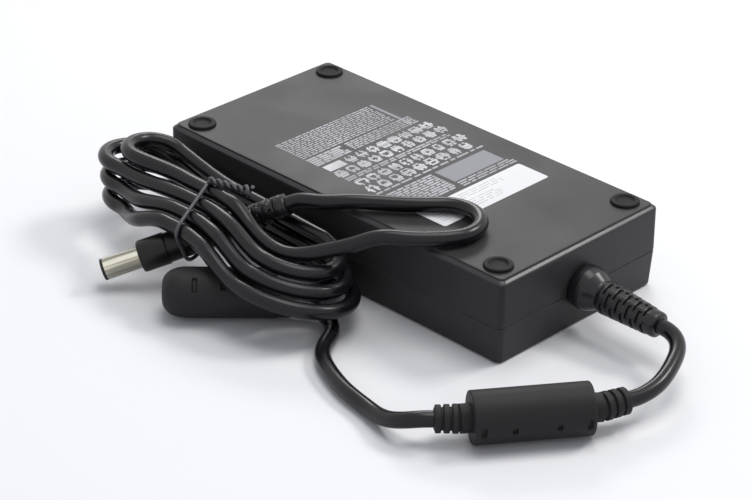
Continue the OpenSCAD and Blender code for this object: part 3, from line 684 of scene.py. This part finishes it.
def hollow_turned(name, outer, inner, origin, direction, materials, lip):
    """Tube wall turned about an axis: the outer profile forwards, then the inner one back, closed on itself.

    Its map is (share of a half turn from one side, metres along). Faces nearer the start than lip
    take the second material."""
    profile = np.array(outer + inner[::-1], float)
    rows, sides = len(profile), 72
    rings = turned_rings(origin, direction, profile[:, 0], profile[:, 1:], sides)
    faces = ring_faces(rows, sides, closed=True)
    turn, along = np.abs(np.linspace(-1, 1, sides, endpoint=False)), profile[:, [0]] * MM
    uv = np.stack([np.broadcast_to(turn, (rows, sides)), np.broadcast_to(along, (rows, sides))], -1)
    piece = mesh_piece(name, rings.reshape(-1, 3), faces, materials, sharp=35, uv=uv.reshape(-1, 2))
    middle_of_face = np.repeat(profile[:, 0], sides)[faces].mean(1)
    piece.data.polygons.foreach_set("material_index", (middle_of_face < lip).astype(int))
    return piece


tip_ring = grained_plastic("tip_ring", (0.014, 0.014, 0.014), 0.4, 0.5, 0.01, specular=0.3)
barrel_outside = [(0.0, 3.35), (0.05, 3.55), (0.2, 3.68), (0.4, BARREL_R), (0.8, BARREL_R), (0.85, 3.62),
                  (0.95, 3.62), (1.0, BARREL_R), (BARREL_BARE_L, BARREL_R), (BARREL_BARE_L, 3.3),
                  (BARREL_L, 3.3)]
barrel_bore = [(0.0, 3.2), (0.12, 2.75), (0.5, BORE_R), (0.85, BORE_R), (BARREL_L, BORE_R)]
# The barrel's nickel carries painted reflections: dark and light streaks that run along it
barrel = hollow_turned("barrel", barrel_outside, barrel_bore, plug_tip, plug_dir, [nickel_with_painted_reflections(), tip_ring],
                       TIP_RING_L)
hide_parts("plug_barrel")

grip = [(BARREL_BARE_L, 3.75), (BARREL_BARE_L, 4.7), (13.15, 5.1), (13.6, 5.35), (14.2, GRIP_R),
        (22.0, GRIP_R), (22.3, 5.3), (22.6, 5.05), (23.0, 5.05), (plug_len - 14, 5.05),
        (plug_len - 9, 4.9), (plug_len - 0.5, 4.6), (plug_len, 4.3)]
plug_grip = turned_piece("plug_grip", [(BARREL_BARE_L, 0)] + grip + [(plug_len, 0)], plug_vinyl,
                         origin=plug_tip, direction=plug_dir)
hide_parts("plug_body")

boot_profile = [(0.3, 4.0), (0.4, 4.25), (2.0, 4.3), (2.4, 4.35), (boot_len - 1.9, 4.0),
                (boot_len - 1.7, 3.85), (boot_len - 0.3, 3.75), (boot_len, 3.4)]
boot_pitch = (boot_len - 4.4) / BOOT_ROWS
boot_slots = [(BOOT_ROWS_FROM + k * boot_pitch, BOOT_ROWS_FROM + (k + 0.42) * boot_pitch,
               BOOT_SLOT_DEPTH, BOOT_SLOTS, 0.25 + 0.5 * (k % 2)) for k in range(BOOT_ROWS)]
plug_boot = slotted_sleeve("plug_boot", plug_back, boot_dir, boot_profile, boot_slots, wide=0.8)
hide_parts("plug_strain_relief")


# ---- Cord -------------------------------------------------------------------
# One round two-core cord in a satin black vinyl jacket. It runs from the outlet
# through both ferrites, is wound in nearly four turns along the housing, and
# then passes over the housing and back down to the plug.

CORD_D = 5.2
LINE_STEP = 0.9
TURNS = 3.84
# Shares of a turn that a run and a fold take, and the place within a turn where the winding starts
RUN, FOLD, TURN_START = 0.24, 0.26, 0.3
# Ends of the runs, and the turn and pull with which the lead-in meets them
LEFT_X, RIGHT_X = -77.5, 7.0
JOIN, LEAD_IN_PULL = 0.2247, 9.6
# Height of the cord's centre line where it lies on the housing
TOP_Z = CASE_H + CORD_D / 2 + 0.3


def cord_jacket_finish():
    """Satin vinyl: fine lengthwise die lines from the extruder, over slow changes in gloss."""
    material = grained_plastic("cord_jacket", (0.006, 0.006, 0.008), 0.25, 1.6, 0.003,
                               spread=0.03, mottle=0.15, specular=0.3)
    nodes, links = material.node_tree.nodes, material.node_tree.links
    grain = nodes["Bump"]
    ridges = nodes.new("ShaderNodeBump")
    ridges.inputs["Strength"].default_value = 0.2
    ridges.inputs["Distance"].default_value = 0.00001
    links.new(streaks_along(material, (2600, 60, 1), detail=2), ridges.inputs["Height"])
    links.new(grain.outputs["Normal"], ridges.inputs["Normal"])
    links.new(ridges.outputs["Normal"], nodes["Principled BSDF"].inputs["Normal"])
    return material


cord_jacket = cord_jacket_finish()


def ease(x, start, stop):
    """Smooth step from 0 to 1 between start and stop."""
    t = np.clip((x - start) / (stop - start), 0, 1)
    return t * t * (3 - 2 * t)


def mix(a, b, t):
    """Straight blend from a to b."""
    return a + (b - a) * t


def wound(t):
    """Places on the winding at turns t: a near run, a right fold, a far run and a left fold in each turn.

    A run takes the share RUN of a turn and a fold the share FOLD. f is the place within the turn,
    and r the turns still to come, so that the turns lie beside and under one another."""
    r = TURNS - t
    f = (t + TURN_START) % 1
    right, left = (f >= RUN) & (f < 0.5), f >= 0.5 + RUN
    quarter = np.where(right, (f - RUN) / FOLD, (f - 0.5 - RUN) / FOLD) * np.pi
    far = np.where(f < RUN, 0, np.where(right, (1 - np.cos(quarter)) / 2,
                                        np.where(left, (1 + np.cos(quarter)) / 2, 1)))
    out = np.where(right | left, np.sin(quarter), 0)
    left_x = LEFT_X + 4 * r + 13 * ease(1.2 - r, 0, 1)
    left_reach, right_reach = 10.8 + 1.2 * r, 11.5 + 4.3 * r
    x = np.where(f < RUN, mix(left_x, RIGHT_X, f / RUN),
                 np.where(right, RIGHT_X + right_reach * out,
                          np.where(left, left_x - left_reach * out, mix(RIGHT_X, left_x, (f - 0.5) / RUN))))
    start, middle, stop = ease(x, left_x, left_x + 21), ease(x, -86, -34), ease(x, -28, RIGHT_X)
    near_y = mix(mix(-64.2, -61.5, start), -67, stop) + r * mix(mix(-2.4, -5.5, start), -5.3, stop)
    near_z = (mix(mix(32, 30, ease(x, left_x, -34)), 26.1, ease(x, -16, RIGHT_X))
              - r * mix(mix(5.4, 2.2, ease(x, left_x + 4, -34)), 3.2, stop))
    far_y = mix(mix(-43.5, -46.3, middle), -46.6, stop) + r * mix(0.3, 1.2, middle)
    far_z = mix(mix(30.6, 25.6, middle), 25.1, stop) - r * mix(6.15, 6.0, stop)
    return np.stack([x, mix(near_y, far_y, far),
                     mix(near_z, far_z, far) + np.where(right, -2.2, 0.5) * out], -1)


def hank_line(t):
    """The whole winding: a Bezier lead-in from the second ferrite up to turn JOIN, then the wound part."""
    join = wound(np.array([JOIN]))[0]
    u = np.clip(t / JOIN, 0, 1)[:, None]
    v = 1 - u
    leave = second_out + LEAD_IN_PULL * second_dir - np.array([0, 0, 0.8])
    arrive = join + np.array([LEAD_IN_PULL, 0, 0])
    lead_in = v ** 3 * second_out + 3 * v * v * u * leave + 3 * v * u * u * arrive + u ** 3 * join
    return np.where((t < JOIN)[:, None], lead_in, wound(t))


def spline_line(points, first, last):
    """Smooth curve through points: cubic pieces over chord length that share their second derivative."""
    p = np.array(points, float)
    s = np.concatenate([[0], np.cumsum(np.linalg.norm(np.diff(p, axis=0), axis=1))])
    h, n = np.diff(s), len(p)
    a, b, i = np.zeros((n, n)), np.zeros((n, 3)), np.arange(1, n - 1)
    a[i, i - 1], a[i, i], a[i, i + 1] = h[1:], 2 * (h[:-1] + h[1:]), h[:-1]
    b[i] = 3 * (h[1:, None] * (p[1:-1] - p[:-2]) / h[:-1, None]
                + h[:-1, None] * (p[2:] - p[1:-1]) / h[1:, None])
    a[0, 0] = a[-1, -1] = 1
    b[0], b[-1] = first, last
    slope = np.linalg.solve(a, b)
    q = np.linspace(0, s[-1], int(s[-1] / LINE_STEP) + 2)
    k = np.clip(np.searchsorted(s, q, side="right") - 1, 0, n - 2)
    hk = h[k][:, None]
    u = (q - s[k])[:, None] / hk
    return ((2 * u ** 3 - 3 * u ** 2 + 1) * p[k] + (u ** 3 - 2 * u ** 2 + u) * hk * slope[k]
            + (3 * u ** 2 - 2 * u ** 3) * p[k + 1] + (u ** 3 - u ** 2) * hk * slope[k + 1])


def even_line(line, step=LINE_STEP):
    """The same line with its points an even step apart."""
    s = np.concatenate([[0], np.cumsum(np.linalg.norm(np.diff(line, axis=0), axis=1))])
    q = np.linspace(0, s[-1], int(round(s[-1] / step)) + 1)
    return np.column_stack([np.interp(q, s, line[:, k]) for k in range(3)])


def round_tube(line, diameter, sides=20):
    """Tube about a line: each ring is square to the line, with one side kept level.

    Gives its rings, and its map in metres round from one side and metres along."""
    tangent = np.gradient(line, axis=0)
    tangent /= np.linalg.norm(tangent, axis=1)[:, None]
    aside = np.cross([0, 0, 1.0], tangent)
    aside /= np.linalg.norm(aside, axis=1)[:, None]
    upward = np.cross(tangent, aside)
    turn = circle(sides)
    rings = line[:, None] + diameter / 2 * (turn[:, [0]] * aside[:, None] + turn[:, [1]] * upward[:, None])
    s = np.concatenate([[0], np.cumsum(np.linalg.norm(np.diff(line, axis=0), axis=1))]) * MM
    around = np.abs(np.linspace(-1, 1, sides, endpoint=False)) * math.pi * diameter * MM / 2
    shape = (len(line), sides)
    uv = np.stack([np.broadcast_to(around, shape), np.broadcast_to(s[:, None], shape)], -1)
    return rings, uv.reshape(-1, 2)


def cord_piece(name, line, nodes, **facts):
    rings, uv = round_tube(line, CORD_D)
    points, faces = closed_shell(rings)
    piece = mesh_piece(name, points, faces, cord_jacket, sharp=60, uv=uv)
    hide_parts(*nodes)


outlet_end = outlet + RELIEF_L * outlet_dir
lead_a = spline_line([
    outlet_end, outlet_end + 2.8 * outlet_dir, [117.7, -1.6, 12.4], [121.5, -5.4, 11.6], [124.4, -11, 10.8],
    [126.6, -17, 10], [127.8, -23, 9.2], [127.6, -28.6, 8.6], first_in + 2.6 * first_in_dir, first_in],
    outlet_dir, -first_in_dir)
cord_piece("lead_to_ferrite", lead_a, ["cord_lead_a"], far_end="fitting", lay="loose",
           with_pieces=[ferrite_cover_a, "ferrite_core_1"])

lead_b = spline_line([
    first_out, first_out + 2.6 * first_out_dir, [87, -88.4, 7.5], [81.4, -89.4, 5.4], [75, -88.6, 3.5],
    [68, -87, 2.7], [60, -85.6, 2.7], [52, -83.3, 2.7], [44, -79.9, 2.7], [36.9, -75.4, 2.7],
    [32.4, -69.5, 2.7], [29, -63.7, 2.9], [24, -60.4, 3.8], [18.8, -60.1, 4.6],
    second_in + 2.8 * second_dir, second_in],
    first_out_dir, -second_dir)
lead_b[:, 2] = np.maximum(lead_b[:, 2], CORD_D / 2 + 0.05)
cord_piece("lead_to_winding", lead_b, ["cord_lead_b"], far_end="fitting", lay="loose",
           with_pieces=[ferrite_cover_b, "ferrite_core_2"])

wound_part = hank_line(np.linspace(0, TURNS, 2400))
hank_end = wound_part[-1]
hank_dir = hank_end - wound_part[-5]
hank_dir /= np.linalg.norm(hank_dir)
loop_part = spline_line([
    hank_end, hank_end + 4 * hank_dir, [-9.9, -63.6, 26.8], [0, -65.4, 24.5], [7, -65.2, 23.6],
    [13.5, -63, 24.2], [20, -58.3, 26.4], [27, -53, 29.3], [34, -47.4, TOP_Z - 0.3], [41, -42, TOP_Z],
    [47.5, -35.4, TOP_Z], [52.1, -27.3, TOP_Z], [50.8, -19.5, TOP_Z], [44.9, -14.6, TOP_Z],
    [36.8, -14.9, TOP_Z], [28.1, -22.4, TOP_Z], [19, -30.4, TOP_Z], [10, -38.2, TOP_Z],
    [2.5, -43.6, TOP_Z - 1], [-2.6, -46, 31.3], plug_end + 2 * boot_dir, plug_end],
    hank_dir, -boot_dir)
main_line = even_line(np.vstack([wound_part[:-1], loop_part]))


# ---- Tie --------------------------------------------------------------------
# A thin wire with a grey plastic coat is drawn tight once round the near strands
# and the plug, and its two ends are twisted together above the far strands.

TIE_D = 1.3
TIE_GAP = 0.1
TIE_SIDES = 12
TIE_SLANT = 0.3
NEAR_STRANDS_Y = -56
TAIL_L, TAIL_TURNS, TAIL_SPLAY, TAIL_RISE = 14.5, 3.1, 1.2, 0.9
tie_coat = grained_plastic("tie_coat", (0.05, 0.048, 0.06), 0.35, 0.5, 0.01)
tie_centre = np.array([-28.0, -70.0, 20.0])
tie_square = np.array([1.0, TIE_SLANT, 0]) / math.hypot(1, TIE_SLANT)
tie_level = np.array([TIE_SLANT, -1.0, 0]) / math.hypot(1, TIE_SLANT)


def tie_cut(point, direction, radius):
    """Outline of a round bar where the tie's plane cuts it, with room for half the wire: 48 points."""
    axis, aside, upward = axis_frame(direction)
    turn = circle(48)
    rim = np.array(point) + (radius + TIE_D / 2 + TIE_GAP) * (turn[:, [0]] * aside + turn[:, [1]] * upward)
    return rim - ((rim - tie_centre) @ tie_square / (axis @ tie_square))[:, None] * axis


side_of_tie = (main_line - tie_centre) @ tie_square
crossings = np.flatnonzero(side_of_tie[:-1] * side_of_tie[1:] < 0)
passes = [i for i in crossings if main_line[i, 1] < NEAR_STRANDS_Y]
held = np.vstack([tie_cut(main_line[i], main_line[i + 1] - main_line[i], CORD_D / 2) for i in passes]
                 + [tie_cut(plug_back, plug_dir, GRIP_R)])
look = np.linspace(0, 2 * np.pi, 360, endpoint=False)[:, None]
# The furthest held point in each direction lies on the shortest line round them all
tie_line = held[np.argmax((np.cos(look) * tie_level + np.sin(look) * [0, 0, 1]) @ held.T, axis=1)]
tie_line = even_line(np.vstack([tie_line, tie_line[:1]]), step=0.5)[:-1]
for _ in range(3):
    tie_line = (np.roll(tie_line, 1, 0) + 2 * tie_line + np.roll(tie_line, -1, 0)) / 4
tie_along = np.roll(tie_line, -1, 0) - np.roll(tie_line, 1, 0)
tie_along /= np.linalg.norm(tie_along, axis=1)[:, None]
tie_out = np.cross(tie_along, tie_square)
turn = circle(TIE_SIDES)
tie_rings = tie_line[:, None] + TIE_D / 2 * (turn[:, [0]] * tie_square + turn[:, [1]] * tie_out[:, None])


def twisted_end(start, heading_to, phase):
    """One of two wires twisted about a line: a helix that opens out over its last quarter."""
    along = np.linspace(0, TAIL_L, 90)
    axis, aside, upward = axis_frame(heading_to)
    angle = 2 * np.pi * TAIL_TURNS * along / TAIL_L + phase
    reach = TIE_D / 2 * 1.02 + TAIL_SPLAY * ease(along, 0.72 * TAIL_L, TAIL_L)
    line = (start + along[:, None] * axis + (reach * np.cos(angle))[:, None] * aside
            + (reach * np.sin(angle))[:, None] * upward)
    return closed_shell(round_tube(line, TIE_D, sides=10)[0])


tail_start = tie_line[np.argmax(tie_line[:, 2])] + [0, 0, TAIL_RISE]
tail_dir = np.array([0.86, 0.5, -0.16])
tie_parts = [(tie_rings.reshape(-1, 3), ring_faces(len(tie_line), TIE_SIDES, closed=True).tolist())]
tie_parts += [twisted_end(tail_start, tail_dir, phase) for phase in (0, np.pi)]
wire_tie = mesh_piece("wire_tie", *gathered(*tie_parts), tie_coat, sharp=60)
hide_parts("twist_tie")

cord_piece("winding_and_loop", main_line, ["cord_hank", "cord_loop"], far_end="plug", lay="coiled",
           with_pieces=[plug_boot, plug_grip, barrel, "plug_insulator", "plug_centre_pin", wire_tie])


# ---- Surface it lies on and light -------------------------------------------
# A pale matt table under a window, a ceiling lamp and a weaker lamp on the far
# side. The camera and mirrored rays see a white room, and the light that falls
# in from the room is dimmer and slightly blue.

TABLE_HALF, TABLE_Z = 4000 * MM, -0.2 * MM


def stage_material():
    """Pale matt finish of the table, with a weak sheen."""
    material = bpy.data.materials.new("pale_table")
    material.use_nodes = True
    shader = material.node_tree.nodes["Principled BSDF"]
    shader.inputs["Base Color"].default_value = (0.86, 0.86, 0.87, 1)
    shader.inputs["Roughness"].default_value = 0.55
    shader.inputs["Specular IOR Level"].default_value = 0.2
    return material


table_mesh = bpy.data.meshes.new("table")
signs = [(-1, -1), (1, -1), (1, 1), (-1, 1)]
table_corners = [(x * TABLE_HALF, y * TABLE_HALF, TABLE_Z) for x, y in signs]
table_mesh.from_pydata(table_corners, [], [(0, 1, 2, 3)])
table_mesh.materials.append(stage_material())
table = bpy.data.objects.new("table", table_mesh)
bpy.context.scene.collection.objects.link(table)


def area_light(name, place, width, height, power):
    """Soft rectangular lamp at a place, facing the origin."""
    data = bpy.data.lights.new(name, "AREA")
    data.shape = "RECTANGLE"
    data.size, data.size_y, data.energy = width, height, power
    lamp = bpy.data.objects.new(name, data)
    bpy.context.scene.collection.objects.link(lamp)
    back, right, up = axis_frame(place)
    lamp.matrix_world = placed(right, up, back, place)


area_light("window", (0.45, 0.95, 1.1), 0.45, 0.32, 8.5)
area_light("ceiling", (0.05, 0.2, 1.4), 0.9, 0.7, 8)
area_light("far_side", (-0.9, 0.8, 0.8), 0.5, 0.28, 3.8)


def either(first, second):
    """Value that is 1 where one of two ray kinds, or both, are 1."""
    node = world_nodes.new("ShaderNodeMath")
    node.operation = "MAXIMUM"
    world_links.new(first, node.inputs[0])
    world_links.new(second, node.inputs[1])
    return node.outputs["Value"]


world = bpy.data.worlds.new("surroundings")
world.use_nodes = True
bpy.context.scene.world = world
world_nodes, world_links = world.node_tree.nodes, world.node_tree.links
world_nodes["Background"].inputs["Color"].default_value = (0.9, 0.92, 1, 1)
world_nodes["Background"].inputs["Strength"].default_value = 0.46
seen = world_nodes.new("ShaderNodeBackground")
seen.inputs["Color"].default_value = (1, 1, 1, 1)
seen.inputs["Strength"].default_value = 1
ray_kind = world_nodes.new("ShaderNodeLightPath")
direct = either(ray_kind.outputs["Is Camera Ray"], ray_kind.outputs["Is Glossy Ray"])
blend = world_nodes.new("ShaderNodeMixShader")
world_links.new(either(direct, ray_kind.outputs["Is Transmission Ray"]), blend.inputs["Fac"])
world_links.new(world_nodes["Background"].outputs["Background"], blend.inputs[1])
world_links.new(seen.outputs["Background"], blend.inputs[2])
world_links.new(blend.outputs["Shader"], world_nodes["World Output"].inputs["Surface"])

bpy.context.scene.view_settings.view_transform = "Standard"
